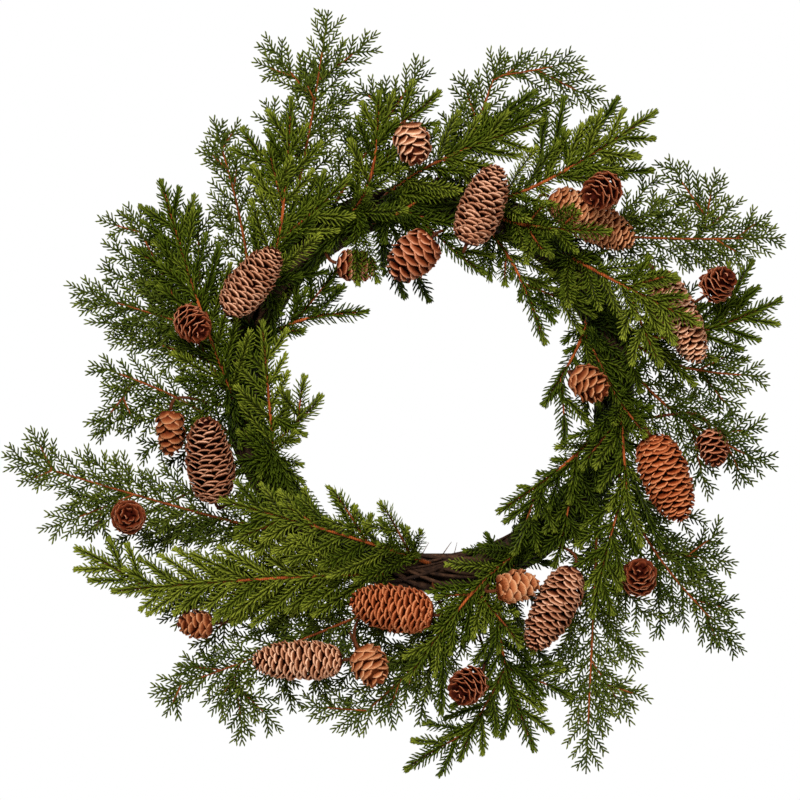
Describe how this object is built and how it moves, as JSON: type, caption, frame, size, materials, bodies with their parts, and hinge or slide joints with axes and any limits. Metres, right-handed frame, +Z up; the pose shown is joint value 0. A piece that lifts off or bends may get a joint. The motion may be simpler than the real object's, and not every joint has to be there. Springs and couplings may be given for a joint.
{
  "type": "pine cone wreath",
  "caption": "Round door wreath of grapevine with cedar and spruce picks swept clockwise and pine cones wired between them; hangs by its ring from a hook.",
  "frame": {"origin": "the hook's seat: the inner face of the ring at its top, on the ring's middle plane", "axes": "+X right and +Z up as the wreath hangs; the face looks towards -Y and the flat back, against the door, towards +Y"},
  "size_m": [0.6133, 0.1043, 0.5995],
  "materials": {
    "grapevine": "dry bark",
    "cedar_foliage": "satin moulded foliage",
    "spruce_foliage": "satin moulded foliage",
    "large_cone_scales": "dry woody scales",
    "small_cone_scales": "dry woody scales"
  },
  "bodies": {
    "root": {"cedar_01": "cedar_foliage", "cedar_02": "cedar_foliage", "cedar_03": "cedar_foliage", "cedar_04": "cedar_foliage", "cedar_05": "cedar_foliage", "cedar_06": "cedar_foliage", "cedar_07": "cedar_foliage", "cedar_08": "cedar_foliage", "cedar_09": "cedar_foliage", "cedar_10": "cedar_foliage", "cedar_11": "cedar_foliage", "cedar_12": "cedar_foliage", "cedar_13": "cedar_foliage", "cedar_14": "cedar_foliage", "cedar_15": "cedar_foliage", "cedar_16": "cedar_foliage", "cone_large_01": "large_cone_scales", "cone_large_02": "large_cone_scales", "cone_large_03": "large_cone_scales", "cone_large_04": "large_cone_scales", "cone_large_05": "large_cone_scales", "cone_large_06": "large_cone_scales", "cone_large_07": "large_cone_scales", "cone_large_08": "large_cone_scales", "cone_large_09": "large_cone_scales", "cone_large_10": "large_cone_scales", "cone_small_01": "small_cone_scales", "cone_small_02": "small_cone_scales", "cone_small_03": "small_cone_scales", "cone_small_04": "small_cone_scales", "cone_small_05": "small_cone_scales", "cone_small_06": "small_cone_scales", "cone_small_07": "small_cone_scales", "cone_small_08": "small_cone_scales", "cone_small_09": "small_cone_scales", "cone_small_10": "small_cone_scales", "cone_small_11": "small_cone_scales", "cone_small_12": "small_cone_scales", "cone_small_13": "small_cone_scales", "cone_small_14": "small_cone_scales", "spruce_01": "spruce_foliage", "spruce_02": "spruce_foliage", "spruce_03": "spruce_foliage", "spruce_04": "spruce_foliage", "spruce_05": "spruce_foliage", "spruce_06": "spruce_foliage", "spruce_07": "spruce_foliage", "spruce_08": "spruce_foliage", "spruce_09": "spruce_foliage", "spruce_10": "spruce_foliage", "spruce_11": "spruce_foliage", "spruce_12": "spruce_foliage", "spruce_13": "spruce_foliage", "spruce_14": "spruce_foliage", "spruce_15": "spruce_foliage", "spruce_16": "spruce_foliage", "spruce_17": "spruce_foliage", "spruce_18": "spruce_foliage", "spruce_19": "spruce_foliage", "vine_ring": "grapevine"}
  },
  "joints": []
}
